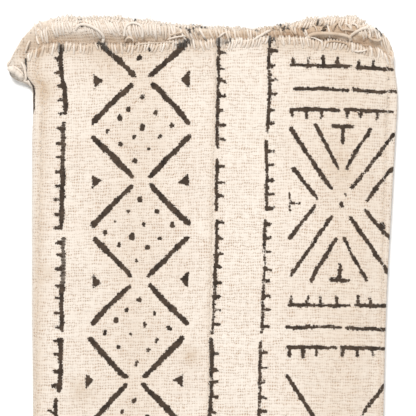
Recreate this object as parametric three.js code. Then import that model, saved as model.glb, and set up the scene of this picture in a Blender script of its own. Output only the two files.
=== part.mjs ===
// A mud cloth of eight handwoven strips sewn side by side, folded in half twice across its
// width and lying flat. Millimetres, +X to the right of the folded cloth, +Y toward the hem
// where its layers show, +Z up from the surface it rests on.
//
// The cloth is one sheet. "along" is measured across the strips, from one free side of the
// cloth to the other, so it runs round every fold. "down" is measured from the hem, with the
// strips. The folds turn "along" into "across" (from the left fold) and height.
import * as THREE from 'three';

const STRIP_WIDTH = 126;
const STRIP_COUNT = 8;
const CLOTH_WIDTH = STRIP_WIDTH * STRIP_COUNT;
const CLOTH_LENGTH = 400;
const THICKNESS = 2;
const LAYER_STEP = 3.2;

// Heights of the middle of each layer, from the floor up.
const BOTTOM = THICKNESS / 2;
const THIRD = BOTTOM + LAYER_STEP;
const SECOND = THIRD + LAYER_STEP;
const TOP = SECOND + LAYER_STEP;

// Radii of the three folds, at the middle of the cloth's thickness.
const OUTER_RADIUS = (TOP - BOTTOM) / 2;
const RIGHT_RADIUS = (TOP - SECOND) / 2;
const INNER_RADIUS = (SECOND - THIRD) / 2;
const INNER_FOLD_SETBACK = 4.5;

// Where the left fold falls on the cloth, and how far it strays over the length.
const LEFT_FOLD_ALONG = 241.5;
const LEFT_FOLD_DRIFT = 0.0223;

// The two fold lines that bound the top layer, as they wander down the cloth.
const FOLD_LINES = [
  { down: 0, left: 0, right: 264 },
  { down: 13, left: 0, right: 266 },
  { down: 35, left: 0.4, right: 268.3 },
  { down: 66, left: -0.4, right: 266.8 },
  { down: 118, left: -0.4, right: 263.9 },
  { down: 188, left: -0.4, right: 260.2 },
  { down: 267, left: 0.3, right: 258 },
  { down: 400, left: 0, right: 255 },
];

// How far each layer's hem reaches past the straight hem line, across the folded cloth, and
// how much the layers behind the top one puff up there.
const HEMS = [
  { across: 5, top: -2.2, second: 8, third: 11.7, bottom: 13, puff: 1.2 },
  { across: 21, top: 0.4, second: 15.3, third: 17.5, bottom: 18.6, puff: 3.4 },
  { across: 50, top: -0.4, second: 16, third: 18.2, bottom: 19.7, puff: 4.2 },
  { across: 79, top: -0.7, second: 14.6, third: 16.8, bottom: 17.5, puff: 3.6 },
  { across: 108, top: 1.5, second: 11.7, third: 13.1, bottom: 13.9, puff: 2.2 },
  { across: 134, top: 2.2, second: 10.2, third: 11.7, bottom: 12.4, puff: 1.6 },
  { across: 160, top: 3.6, second: 9.5, third: 10.2, bottom: 11, puff: 1.4 },
  { across: 185, top: 4.7, second: 10.2, third: 13.1, bottom: 14.2, puff: 1.8 },
  { across: 203, top: 2.9, second: 11.7, third: 16, bottom: 18.2, puff: 3 },
  { across: 225, top: 1.5, second: 13.1, third: 18.2, bottom: 20, puff: 4.2 },
  { across: 244, top: -2.2, second: 13.1, third: 17.5, bottom: 19, puff: 3.8 },
  { across: 255, top: -5.1, second: 8.8, third: 17, bottom: 18.5, puff: 2.6 },
  { across: 262, top: -9.5, second: 1.5, third: 17, bottom: 18.5, puff: 1.2 },
];

// The loose corner at the left fold. "turn" is measured along the cloth from the middle of
// the fold, negative on the bottom layer. The corner stands out to the left, and its hem
// dips below the straight hem line.
const CORNER = [
  { turn: -70, out: 0, reach: 19.4, lift: 0 },
  { turn: -40, out: 6, reach: 19.8, lift: 1 },
  { turn: -30, out: 10.5, reach: 18.6, lift: 1.8 },
  { turn: -22, out: 15.6, reach: 16, lift: 2.5 },
  { turn: -17, out: 18, reach: 9.3, lift: 3.2 },
  { turn: -13, out: 19.8, reach: 2.5, lift: 4 },
  { turn: -8, out: 22, reach: -10, lift: 5 },
  { turn: -5.5, out: 19.5, reach: -17, lift: 5 },
  { turn: -3.5, out: 13, reach: -25, lift: 4 },
  { turn: -1.5, out: 6, reach: -27, lift: 2 },
  { turn: 0.5, out: 4.6, reach: -18, lift: 0.5 },
  { turn: 3, out: 5.2, reach: -11, lift: 0 },
  { turn: 6, out: 6.6, reach: -7, lift: 0 },
  { turn: 10, out: 5.6, reach: -3.5, lift: 0 },
  { turn: 18, out: 3.4, reach: -1.5, lift: 0 },
  { turn: 30, out: 2.3, reach: -0.4, lift: 0 },
  { turn: 55, out: 0, reach: -0.4, lift: 0 },
];
const CORNER_FADE = { from: 21, to: 33 };

// Loose rolls of the cloth behind the top hem. "up" is measured from the straight hem line.
const RIDGES = [
  { across: 202, up: 5, toAcross: 217, toUp: 8.5, halfWidth: 2.4, height: 3 },
  { across: 217, up: 8.5, toAcross: 233, toUp: 3, halfWidth: 2.4, height: 3 },
  { across: 233, up: 2.5, toAcross: 249, toUp: 13, halfWidth: 2.2, height: 3 },
  { across: 18, up: 12, toAcross: 92, toUp: 10.5, halfWidth: 4, height: 1.8 },
];
const RIDGE_START = 3;

// The hem's curves die away this far down the cloth, and the far end is cut nearly straight.
const HEM_FADE = 110;
const END_WAVE = 1.2;
const END_WAVE_LENGTH = 90;
const END_FADE = 60;

// The layers behind start to puff this far past the top hem, over this distance, and the top
// layer rises a little toward its own hem.
const PUFF_START = 0.8;
const PUFF_RUN = 9;
const HEM_RAISE = { height: 0.6, run: 14 };
const PUFF_SHARE = { bottom: 0.7, third: 0.85, second: 1 };

// The top layer sinks a little toward both folds, further at the right, where the two
// layers under it stop short.
const LEFT_SINK = { depth: 1.6, run: 18 };
const RIGHT_SINK = { depth: 4.2, run: 24 };

// Slow swells of the face: height, and the lengths of the waves across and down.
const SWELL = { height: 0.35, across: 95, down: 140, lean: 0.6 };

// Steps of the mesh on each stretch of the cloth, from one free side to the other.
const STEPS = { bottom: 22, outer: 14, top: 22, right: 7, second: 30, inner: 5, third: 20 };
const ROWS_DOWN = [0, 2.5, 6, 10, 15, 21, 28, 36, 48, 66, 92, 130, 188, 267, 335, 400];

const CREAM = 0xf6ecdd;

const ease = (value) => {
  const t = Math.min(Math.max(value, 0), 1);
  return t * t * (3 - 2 * t);
};

/** The value of a column of a table at a place, on a smooth curve through its rows. */
function through(rows, key, column, place) {
  const last = rows.length - 1;
  if (place <= rows[0][key]) return rows[0][column];
  if (place >= rows[last][key]) return rows[last][column];
  let i = 0;
  while (rows[i + 1][key] < place) i += 1;
  const slope = (a, b) => (rows[b][column] - rows[a][column]) / (rows[b][key] - rows[a][key]);
  const gap = rows[i + 1][key] - rows[i][key];
  const here = slope(i, i + 1);
  const before = i > 0 ? slope(i - 1, i) : here;
  const after = i + 1 < last ? slope(i + 1, i + 2) : here;
  const start = before * here > 0 ? (before + here) / 2 : 0;
  const end = here * after > 0 ? (here + after) / 2 : 0;
  const t = (place - rows[i][key]) / gap;
  const rise = 3 * t * t - 2 * t * t * t;
  return rows[i][column] * (1 - rise) + rows[i + 1][column] * rise
    + gap * (start * t * (1 - t) * (1 - t) - end * t * t * (1 - t));
}

/** Where the folds and the free sides lie at a distance down the cloth. */
function foldsAt(down) {
  const left = through(FOLD_LINES, 'down', 'left', down) + THICKNESS / 2;
  const right = through(FOLD_LINES, 'down', 'right', down) - THICKNESS / 2;
  const outerCentre = left + OUTER_RADIUS;
  const rightCentre = right - RIGHT_RADIUS;
  const innerCentre = INNER_FOLD_SETBACK + INNER_RADIUS;
  const outerStart = LEFT_FOLD_ALONG + LEFT_FOLD_DRIFT * down - Math.PI * OUTER_RADIUS / 2;
  const outerEnd = outerStart + Math.PI * OUTER_RADIUS;
  const rightStart = outerEnd + rightCentre - outerCentre;
  const rightEnd = rightStart + Math.PI * RIGHT_RADIUS;
  const innerStart = rightEnd + rightCentre - innerCentre;
  const innerEnd = innerStart + Math.PI * INNER_RADIUS;
  return {
    right, outerCentre, rightCentre, innerCentre,
    outerStart, outerEnd, rightStart, rightEnd, innerStart, innerEnd,
  };
}

/** A place on the folded section: how far across, how high, and on which layer. */
function onSection(stretch, share, folds) {
  const arc = (centre, side, radius, middle, from) => {
    const angle = from * (Math.PI / 2) * (1 - 2 * share);
    return {
      across: centre + side * radius * Math.cos(angle),
      height: middle - radius * Math.sin(angle),
    };
  };
  const { outerCentre, rightCentre, innerCentre } = folds;
  const flat = (start, end, height) => ({ across: start + (end - start) * share, height });
  if (stretch === 'bottom') return flat(outerCentre + folds.outerStart, outerCentre, BOTTOM);
  if (stretch === 'outer') {
    return arc(outerCentre, -1, OUTER_RADIUS, (TOP + BOTTOM) / 2, 1);
  }
  if (stretch === 'top') return flat(outerCentre, rightCentre, TOP);
  if (stretch === 'right') {
    return arc(rightCentre, 1, RIGHT_RADIUS, (TOP + SECOND) / 2, -1);
  }
  if (stretch === 'second') return flat(rightCentre, innerCentre, SECOND);
  if (stretch === 'inner') {
    return arc(innerCentre, -1, INNER_RADIUS, (SECOND + THIRD) / 2, -1);
  }
  return flat(innerCentre, innerCentre + CLOTH_WIDTH - folds.innerEnd, THIRD);
}

/** How far along the cloth a share of a stretch lies. */
function alongAt(stretch, share, folds) {
  const ends = {
    bottom: [0, folds.outerStart],
    outer: [folds.outerStart, folds.outerEnd],
    top: [folds.outerEnd, folds.rightStart],
    right: [folds.rightStart, folds.rightEnd],
    second: [folds.rightEnd, folds.innerStart],
    inner: [folds.innerStart, folds.innerEnd],
    third: [folds.innerEnd, CLOTH_WIDTH],
  }[stretch];
  return ends[0] + (ends[1] - ends[0]) * share;
}

const NEXT_LAYERS = {
  outer: ['bottom', 'top'], right: ['top', 'second'], inner: ['second', 'third'],
};

/** A value that each layer has, blended from one layer to the next round a fold. */
function perLayer(stretch, share, valueOf) {
  if (!(stretch in NEXT_LAYERS)) return valueOf(stretch);
  const [from, to] = NEXT_LAYERS[stretch];
  return valueOf(from) * (1 - ease(share)) + valueOf(to) * ease(share);
}

/** How far the hem reaches at a place along the cloth, past the straight hem line. */
function hemReach(stretch, share, folds) {
  const turn = alongAt(stretch, share, folds) - (folds.outerStart + folds.outerEnd) / 2;
  const near = CORNER[0].turn;
  if (turn > near && turn < CORNER[CORNER.length - 1].turn) {
    return through(CORNER, 'turn', 'reach', turn);
  }
  const { across } = onSection(stretch, share, folds);
  return perLayer(stretch, share, (layer) => through(HEMS, 'across', layer, across));
}

/** How high the loose rolls of cloth stand at a place in the plan. */
function ridgesAt(across, y) {
  const heights = RIDGES.map((ridge) => {
    const wayAcross = ridge.toAcross - ridge.across;
    const wayUp = ridge.toUp - ridge.up;
    const share = ((across - ridge.across) * wayAcross + (y - ridge.up) * wayUp)
      / (wayAcross ** 2 + wayUp ** 2);
    const held = Math.min(Math.max(share, 0), 1);
    const off = Math.hypot(
      across - ridge.across - held * wayAcross,
      y - ridge.up - held * wayUp,
    );
    return ridge.height * Math.exp(-((off / ridge.halfWidth) ** 2));
  });
  return Math.max(...heights);
}

/** A point of the middle of the cloth's thickness. */
function onCloth(stretch, share, down) {
  const folds = foldsAt(down);
  const { across, height } = onSection(stretch, share, folds);
  const atHem = foldsAt(0);
  const reach = hemReach(stretch, share, atHem) * ease(1 - down / HEM_FADE);
  const wave = END_WAVE * Math.sin((2 * Math.PI * across) / END_WAVE_LENGTH + height);
  const y = -down + reach + wave * ease((down - CLOTH_LENGTH) / END_FADE + 1);

  const turn = alongAt(stretch, share, folds) - (folds.outerStart + folds.outerEnd) / 2;
  const loose = ease((y + CORNER_FADE.to) / (CORNER_FADE.to - CORNER_FADE.from));
  const out = through(CORNER, 'turn', 'out', turn) * loose;
  const lift = through(CORNER, 'turn', 'lift', turn) * loose;

  const pastTopHem = y - through(HEMS, 'across', 'top', across) - PUFF_START;
  const puff = through(HEMS, 'across', 'puff', across) * ease(pastTopHem / PUFF_RUN)
    + ridgesAt(across, y) * ease(pastTopHem / RIDGE_START);
  const rise = perLayer(stretch, share, (layer) => (layer === 'top'
    ? HEM_RAISE.height * ease(1 + pastTopHem / HEM_RAISE.run)
    : puff * PUFF_SHARE[layer]));

  const level = (height - BOTTOM) / (TOP - BOTTOM);
  const rightSink = RIGHT_SINK.depth * ease((across - folds.right) / RIGHT_SINK.run + 1);
  const onRightFold = ['top', 'right', 'second'].includes(stretch) ? 1 : 0;
  const sink = level * LEFT_SINK.depth * ease(1 - across / LEFT_SINK.run)
    + onRightFold * rightSink;
  const swell = level * SWELL.height
    * Math.sin((2 * Math.PI * (across + SWELL.lean * y)) / SWELL.across)
    * Math.cos((2 * Math.PI * y) / SWELL.down);
  return new THREE.Vector3(across - out, y, height + lift + rise - sink + swell);
}

/** The cloth's outward direction at a place, up on the top layer and down on the bottom. */
function outward(stretch, share, down) {
  const nudge = 0.002;
  const at = (ds, dd) => onCloth(
    stretch,
    Math.min(Math.max(share + ds, 0), 1),
    Math.min(Math.max(down + dd, 0), CLOTH_LENGTH),
  );
  const alongCloth = at(nudge, 0).sub(at(-nudge, 0));
  const towardHem = at(0, -nudge * CLOTH_LENGTH).sub(at(0, nudge * CLOTH_LENGTH));
  return alongCloth.cross(towardHem).normalize();
}

/** The places round the folded section where the mesh has a line of points. */
function stations() {
  const list = [];
  for (const [stretch, steps] of Object.entries(STEPS)) {
    const first = list.length === 0 ? 0 : 1;
    for (let i = first; i <= steps; i += 1) list.push({ stretch, share: i / steps });
  }
  return list;
}

/** The folded cloth as a closed mesh: its outer face, its inner face and its four edges. */
function foldedCloth() {
  const places = stations();
  const rows = ROWS_DOWN;
  const points = [];
  for (const side of [1, -1]) {
    for (const { stretch, share } of places) {
      for (const down of rows) {
        const middle = onCloth(stretch, share, down);
        const offset = outward(stretch, share, down).multiplyScalar(side * THICKNESS / 2);
        points.push(middle.add(offset));
      }
    }
  }
  const point = (side, i, j) => (side * places.length + i) * rows.length + j;
  const triangles = [];
  const quad = (a, b, c, d) => triangles.push(a, b, c, a, c, d);
  const lastPlace = places.length - 1;
  const lastRow = rows.length - 1;
  for (let i = 0; i < lastPlace; i += 1) {
    for (let j = 0; j < lastRow; j += 1) {
      quad(point(0, i, j), point(0, i, j + 1), point(0, i + 1, j + 1), point(0, i + 1, j));
      quad(point(1, i, j), point(1, i + 1, j), point(1, i + 1, j + 1), point(1, i, j + 1));
    }
    quad(point(0, i, 0), point(0, i + 1, 0), point(1, i + 1, 0), point(1, i, 0));
    quad(
      point(0, i, lastRow), point(1, i, lastRow),
      point(1, i + 1, lastRow), point(0, i + 1, lastRow),
    );
  }
  for (let j = 0; j < lastRow; j += 1) {
    quad(point(0, 0, j), point(1, 0, j), point(1, 0, j + 1), point(0, 0, j + 1));
    quad(
      point(0, lastPlace, j), point(0, lastPlace, j + 1),
      point(1, lastPlace, j + 1), point(1, lastPlace, j),
    );
  }
  const geometry = new THREE.BufferGeometry().setFromPoints(points);
  geometry.setIndex(triangles);
  return geometry;
}

/** Moves a shape so that the middle of its box is over the origin and it stands on z = 0. */
function settle(geometry) {
  geometry.computeBoundingBox();
  const { min, max } = geometry.boundingBox;
  geometry.translate(-(min.x + max.x) / 2, -(min.y + max.y) / 2, -min.z);
  geometry.computeVertexNormals();
  return geometry;
}

const cloth = new THREE.Mesh(
  settle(foldedCloth()),
  new THREE.MeshStandardMaterial({ color: CREAM, roughness: 0.95, metalness: 0 }),
);
cloth.name = 'cloth';

const part = new THREE.Group();
part.add(cloth);

export default part;
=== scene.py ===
import math
from collections import namedtuple

import bpy
import numpy as np
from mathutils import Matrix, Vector
from mathutils.bvhtree import BVHTree


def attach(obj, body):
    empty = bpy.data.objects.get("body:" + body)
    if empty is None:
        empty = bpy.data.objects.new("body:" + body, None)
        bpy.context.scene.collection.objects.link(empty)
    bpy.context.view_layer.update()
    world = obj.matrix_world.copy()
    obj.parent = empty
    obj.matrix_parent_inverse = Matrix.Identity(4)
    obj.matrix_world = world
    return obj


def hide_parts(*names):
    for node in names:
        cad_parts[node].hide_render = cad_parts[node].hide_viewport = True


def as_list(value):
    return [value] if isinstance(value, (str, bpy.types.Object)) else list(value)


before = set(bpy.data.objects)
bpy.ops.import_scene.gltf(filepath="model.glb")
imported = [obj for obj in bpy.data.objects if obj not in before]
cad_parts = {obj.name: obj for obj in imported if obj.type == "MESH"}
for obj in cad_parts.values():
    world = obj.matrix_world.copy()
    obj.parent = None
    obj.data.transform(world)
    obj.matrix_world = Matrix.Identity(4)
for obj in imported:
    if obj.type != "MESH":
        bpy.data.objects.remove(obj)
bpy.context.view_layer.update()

# A mud cloth: eight handwoven strips sewn side by side, folded in half twice across its
# width and lying flat. Sizes are in millimetres until a mesh is made of them.
#
# "along" runs across the strips, from one free side of the cloth to the other, round every
# fold. "down" runs with the strips, from the hem. The folds turn "along" into "across",
# from the left fold, and height.
MM = 0.001

STRIP_WIDTH = 126.0
STRIP_COUNT = 8
CLOTH_WIDTH = STRIP_WIDTH * STRIP_COUNT
CLOTH_LENGTH = 400.0
THICKNESS = 2.0
LAYER_STEP = 3.2

BOTTOM = THICKNESS / 2
THIRD = BOTTOM + LAYER_STEP
SECOND = THIRD + LAYER_STEP
TOP = SECOND + LAYER_STEP
LEVELS = {"bottom": BOTTOM, "third": THIRD, "second": SECOND, "top": TOP}

OUTER_RADIUS = (TOP - BOTTOM) / 2
RIGHT_RADIUS = (TOP - SECOND) / 2
INNER_RADIUS = (SECOND - THIRD) / 2
INNER_FOLD_SETBACK = 4.5

LEFT_FOLD_ALONG = 241.5
LEFT_FOLD_DRIFT = 0.0223

# The two fold lines that bound the top layer, as they wander down the cloth.
FOLD_LINES = {
    "down": (0, 13, 35, 66, 118, 188, 267, 400),
    "left": (0, 0, 0.4, -0.4, -0.4, -0.4, 0.3, 0),
    "right": (264, 266, 268.3, 266.8, 263.9, 260.2, 258, 255),
}

# How far each layer's hem reaches past the straight hem line, and how much the layers
# behind the top one puff up there.
HEMS = {
    "across": (5, 21, 50, 79, 108, 134, 160, 185, 203, 225, 244, 255, 262),
    "top": (-2.2, 0.4, -0.4, -0.7, 1.5, 2.2, 3.6, 4.7, 2.9, 1.5, -2.2, -5.1, -9.5),
    "second": (8, 15.3, 16, 14.6, 11.7, 10.2, 9.5, 10.2, 11.7, 13.1, 13.1, 8.8, 1.5),
    "third": (11.7, 17.5, 18.2, 16.8, 13.1, 11.7, 10.2, 13.1, 16, 18.2, 17.5, 17, 17),
    "bottom": (13, 18.6, 19.7, 17.5, 13.9, 12.4, 11, 14.2, 18.2, 20, 19, 18.5, 18.5),
    "puff": (1.2, 3.4, 4.2, 3.6, 2.2, 1.6, 1.4, 1.8, 3, 4.2, 3.8, 2.6, 1.2),
}

# The loose corner at the left fold, "turn" being measured along the cloth from the middle
# of the fold.
CORNER = {
    "turn": (-70, -40, -30, -22, -17, -13, -8, -5.5, -3.5, -1.5, 0.5, 3, 6, 10, 18, 30, 55),
    "out": (0, 6, 10.5, 15.6, 18, 19.8, 22, 19.5, 13, 6, 4.6, 5.2, 6.6, 5.6, 3.4, 2.3, 0),
    "reach": (
        19.4, 19.8, 18.6, 16, 9.3, 2.5, -10, -17, -25, -27, -18, -11, -7, -3.5, -1.5, -0.4, -0.4,
    ),
    "lift": (0, 1, 1.8, 2.5, 3.2, 4, 5, 5, 4, 2, 0.5, 0, 0, 0, 0, 0, 0),
}
CORNER_FADE = (21.0, 33.0)

# How far down the hem's curves die away, and small waves of the cut edge itself.
HEM_FADE = 110.0
EDGE_WAVES = {"length": (17.0, 7.3, 29.0), "size": (0.45, 0.4, 0.5)}
EDGE_RUN = 14.0
END_WAVE = 1.2
END_WAVE_LENGTH = 90.0
END_FADE = 60.0

# Where behind the top hem the puff starts and how soon it is full, how far the top hem is
# raised and the layers sink toward either fold, each with its run, and a swell of the stack.
PUFF_START = 0.8
PUFF_RUN = 9.0
HEM_RAISE = (0.6, 14.0)
PUFF_SHARE = {"bottom": 0.7, "third": 0.85, "second": 1.0}
LEFT_SINK = (1.6, 18.0)
RIGHT_SINK = (4.2, 24.0)
SWELL = {"height": 0.35, "across": 95.0, "down": 140.0, "lean": 0.6}

# Loose rolls of cloth behind the top hem, and small ruffles of the hems there.
RIDGES = {
    "across": (202, 217, 233, 18),
    "up": (5, 8.5, 2.5, 12),
    "to_across": (217, 233, 249, 92),
    "to_up": (8.5, 3, 13, 10.5),
    "half_width": (2.4, 2.4, 2.2, 4),
    "height": (3.0, 3.0, 3.0, 1.8),
}
RIDGE_START = 3.0
RUFFLE = {"height": 0.35, "short": 23.0, "long": 41.0, "shift": 1.0, "lean": 0.5, "run": 9.0}

STRETCHES = ("bottom", "outer", "top", "right", "second", "inner", "third")
FOLDS = {"outer": ("bottom", "top"), "right": ("top", "second"), "inner": ("second", "third")}

# The photograph shows 0.73 mm of cloth to a pixel. It is 416 pixels square, and the left
# fold and the hem line lie at these pixels.
PIXEL = 0.7304
PHOTO_PIXELS = 416
LEFT_FOLD_PIXEL = 31.5
HEM_PIXEL = 44.0
CAMERA_HEIGHT = 1500.0


def ease(value):
    t = np.clip(value, 0, 1)
    return t * t * (3 - 2 * t)


def bell(distance, width):
    return np.exp(-((distance / width) ** 2))


def wave(place, length, shift=0.0):
    return np.sin(2 * math.pi * place / length + shift)


def from_stroke(x, y, start, end):
    """How far along a straight stroke places lie, as a share of it, and how far off it."""
    start = np.array(start, float)
    way = np.array(end, float) - start
    share = ((x - start[0]) * way[0] + (y - start[1]) * way[1]) / max(way @ way, 1e-9)
    held = np.clip(share, 0, 1)
    return share, np.hypot(x - start[0] - held * way[0], y - start[1] - held * way[1])


def through(table, key, column, place):
    """The value of a table's column at places, on a smooth curve through its rows."""
    x = np.array(table[key], float)
    y = np.array(table[column], float)
    slope = np.diff(y) / np.diff(x)
    inner = np.where(slope[:-1] * slope[1:] > 0, (slope[:-1] + slope[1:]) / 2, 0)
    at_rows = np.concatenate([slope[:1], inner, slope[-1:]])
    place = np.clip(place, x[0], x[-1])
    i = np.clip(np.searchsorted(x, place, side="right") - 1, 0, len(x) - 2)
    gap = x[i + 1] - x[i]
    t = (place - x[i]) / gap
    rise = 3 * t**2 - 2 * t**3
    bend = gap * (at_rows[i] * t * (1 - t) ** 2 - at_rows[i + 1] * t**2 * (1 - t))
    return y[i] * (1 - rise) + y[i + 1] * rise + bend


def folds_at(down):
    """Where the folds lie at distances down the cloth."""
    left = through(FOLD_LINES, "down", "left", down) + THICKNESS / 2
    right = through(FOLD_LINES, "down", "right", down) - THICKNESS / 2
    f = {"right": right}
    f["outer_centre"] = left + OUTER_RADIUS
    f["right_centre"] = right - RIGHT_RADIUS
    f["inner_centre"] = INNER_FOLD_SETBACK + INNER_RADIUS + 0 * down
    f["outer_start"] = LEFT_FOLD_ALONG + LEFT_FOLD_DRIFT * down - math.pi * OUTER_RADIUS / 2
    f["outer_end"] = f["outer_start"] + math.pi * OUTER_RADIUS
    f["right_start"] = f["outer_end"] + f["right_centre"] - f["outer_centre"]
    f["right_end"] = f["right_start"] + math.pi * RIGHT_RADIUS
    f["inner_start"] = f["right_end"] + f["right_centre"] - f["inner_centre"]
    f["inner_end"] = f["inner_start"] + math.pi * INNER_RADIUS
    return f


def ends_of(stretch, f):
    """Where a stretch of the folded section starts and ends, along the cloth."""
    nothing = 0 * f["right"]
    marks = [nothing] + [f[fold + end] for fold in FOLDS for end in ("_start", "_end")]
    marks.append(CLOTH_WIDTH + nothing)
    i = STRETCHES.index(stretch)
    return marks[i], marks[i + 1]


def section_of(stretch, share, f):
    """How far across and how high a share of a stretch lies."""
    outer, right, inner = (f[fold + "_centre"] for fold in FOLDS)
    if stretch in FOLDS:
        first, then = (LEVELS[layer] for layer in FOLDS[stretch])
        radius = abs(then - first) / 2
        angle = np.sign(then - first) * (math.pi / 2) * (1 - 2 * share)
        out = radius * np.cos(angle) * (1 if stretch == "right" else -1)
        return f[stretch + "_centre"] + out, (first + then) / 2 - radius * np.sin(angle)
    start, end = {
        "bottom": (outer + f["outer_start"], outer),
        "top": (outer, right),
        "second": (right, inner),
        "third": (inner, inner + CLOTH_WIDTH - f["inner_end"]),
    }[stretch]
    return start + (end - start) * share, LEVELS[stretch] + 0 * share


def per_layer(stretch, share, value_of):
    """A value that each layer has, blended from one layer to the next round a fold."""
    if stretch not in FOLDS:
        return value_of(stretch)
    first, then = FOLDS[stretch]
    return value_of(first) * (1 - ease(share)) + value_of(then) * ease(share)


def along_at(stretch, share, f):
    start, end = ends_of(stretch, f)
    return start + (end - start) * share


def hem_reach(stretch, share):
    """How far the hem reaches past the straight hem line."""
    f = folds_at(0 * share)
    turn = along_at(stretch, share, f) - (f["outer_start"] + f["outer_end"]) / 2
    across, _ = section_of(stretch, share, f)
    plain = per_layer(stretch, share, lambda layer: through(HEMS, "across", layer, across))
    near = (turn > CORNER["turn"][0]) & (turn < CORNER["turn"][-1])
    return np.where(near, through(CORNER, "turn", "reach", turn), plain)


def ridges_at(across, y):
    """The loose rolls of cloth behind the top hem, as heights."""
    total = np.zeros_like(across)
    for start, up, end, to_up, half_width, height in zip(*RIDGES.values()):
        _, off = from_stroke(across, y, (start, up), (end, to_up))
        total = np.maximum(total, height * bell(off, half_width))
    return total


def ruffle_at(across, y, past_top_hem):
    """Small waves of the hems behind the top one."""
    waves = wave(across + RUFFLE["lean"] * y, RUFFLE["short"])
    waves = waves + wave(across, RUFFLE["long"], RUFFLE["shift"])
    return RUFFLE["height"] * (waves + 1.0) * ease(past_top_hem / RUFFLE["run"])


def on_cloth(stretch, share, down):
    """Points of the middle of the cloth's thickness, and how far along the cloth each is."""
    share, down = np.broadcast_arrays(np.asarray(share, float), np.asarray(down, float))
    f = folds_at(down)
    across, height = section_of(stretch, share, f)
    reach = hem_reach(stretch, share) * ease(1 - down / HEM_FADE)
    end_wave = END_WAVE * wave(across, END_WAVE_LENGTH, height)
    y = -down + reach + end_wave * ease((down - CLOTH_LENGTH) / END_FADE + 1)

    along = along_at(stretch, share, f)
    for length, size in zip(*EDGE_WAVES.values()):
        y = y + size * wave(along, length, size) * ease(1 - down / EDGE_RUN)
    turn = along - (f["outer_start"] + f["outer_end"]) / 2
    loose = ease((y + CORNER_FADE[1]) / (CORNER_FADE[1] - CORNER_FADE[0]))
    out = through(CORNER, "turn", "out", turn) * loose
    lift = through(CORNER, "turn", "lift", turn) * loose

    past_top_hem = y - through(HEMS, "across", "top", across) - PUFF_START
    puff = through(HEMS, "across", "puff", across) * ease(past_top_hem / PUFF_RUN)
    puff = puff + ridges_at(across, y) * ease(past_top_hem / RIDGE_START)
    puff = puff + ruffle_at(across, y, past_top_hem)
    raised = HEM_RAISE[0] * ease(1 + past_top_hem / HEM_RAISE[1])
    rise = per_layer(
        stretch, share, lambda layer: raised if layer == "top" else puff * PUFF_SHARE[layer]
    )

    level = (height - BOTTOM) / (TOP - BOTTOM)
    sink = level * LEFT_SINK[0] * ease(1 - across / LEFT_SINK[1])
    if stretch in ("top", "right", "second"):
        sink = sink + RIGHT_SINK[0] * ease((across - f["right"]) / RIGHT_SINK[1] + 1)
    swell = level * SWELL["height"] * wave(across + SWELL["lean"] * y, SWELL["across"])
    swell = swell * np.cos(2 * math.pi * y / SWELL["down"])
    points = np.stack([across - out, y, height + lift + rise - sink + swell], axis=-1)
    return points, along


def unit(vectors):
    return vectors / np.maximum(np.linalg.norm(vectors, axis=-1, keepdims=True), 1e-9)


def directions(stretch, share, down):
    """Unit vectors off the painted face and toward the hem."""
    step = 0.002
    share, down = np.broadcast_arrays(np.asarray(share, float), np.asarray(down, float))
    low, high = np.clip(share - step, 0, 1), np.clip(share + step, 0, 1)
    along = on_cloth(stretch, high, down)[0] - on_cloth(stretch, low, down)[0]
    span = step * CLOTH_LENGTH
    near, far = np.clip(down - span, 0, None), np.clip(down + span, None, CLOTH_LENGTH)
    to_hem = on_cloth(stretch, share, near)[0] - on_cloth(stretch, share, far)[0]
    return unit(np.cross(along, to_hem)), unit(to_hem)


# Sewing and finish, in millimetres.
SEAM_RIDGE = 0.35
SEAM_RIDGE_WIDTH = 2.2
SEAM_GROOVE = 0.5
SEAM_GROOVE_WIDTH = 0.7
HEM_SWELL = 0.5
HEM_SWELL_RUN = 3.5
EDGE_ROUND = 0.8

# Slubs of the yarn in relief, as waves: "bend" is how much the rows of them wander.
SLUBS = {
    "height": 0.12, "down": 0.83, "bend": 2.0, "bend_along": 0.047, "along": 0.19,
    "patch_along": 0.031, "patch_down": 0.023,
}

# Soft creases of the top face: where each one starts and ends, its half width and its depth.
CREASES = {
    "along": (262, 300, 352, 398, 436, 470, 500, 288),
    "down": (60, 150, 95, 40, 130, 250, 180, 300),
    "to_along": (300, 352, 398, 372, 500, 505, 488, 380),
    "to_down": (52, 140, 110, 120, 118, 262, 330, 318),
    "half_width": (9, 12, 10, 8, 10, 9, 8, 12),
    "depth": (0.25, 0.3, -0.25, 0.2, 0.25, -0.25, 0.3, 0.25),
}
CREASE_ENDS = 3.0

# The weft bows a little: how far it stands up the cloth, across the folded width.
WEFT_BOW = {"across": (0, 60, 134, 190, 230, 268), "bow": (-2.5, -0.5, 1.5, 2.3, 1.6, 0)}
WEFT_BOW_FADE = 420.0

# Spacing of the mesh's lines of points.
FINE = 1.33
COARSE_FROM = 42.0
COARSE_STEP = 16.9


def seam_distance(along):
    """How far the nearest join of two strips is."""
    nearest = np.clip(np.round(along / STRIP_WIDTH), 1, STRIP_COUNT - 1) * STRIP_WIDTH
    return np.abs(along - nearest)


def crease_relief(along, down):
    """The soft creases of the face, as heights."""
    total = np.zeros_like(along)
    for start, from_down, end, to_down, half_width, depth in zip(*CREASES.values()):
        share, off = from_stroke(along, down, (start, from_down), (end, to_down))
        fade = ease(share * CREASE_ENDS) * ease((1 - share) * CREASE_ENDS)
        total -= depth * fade * bell(off, half_width)
    return total


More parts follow.
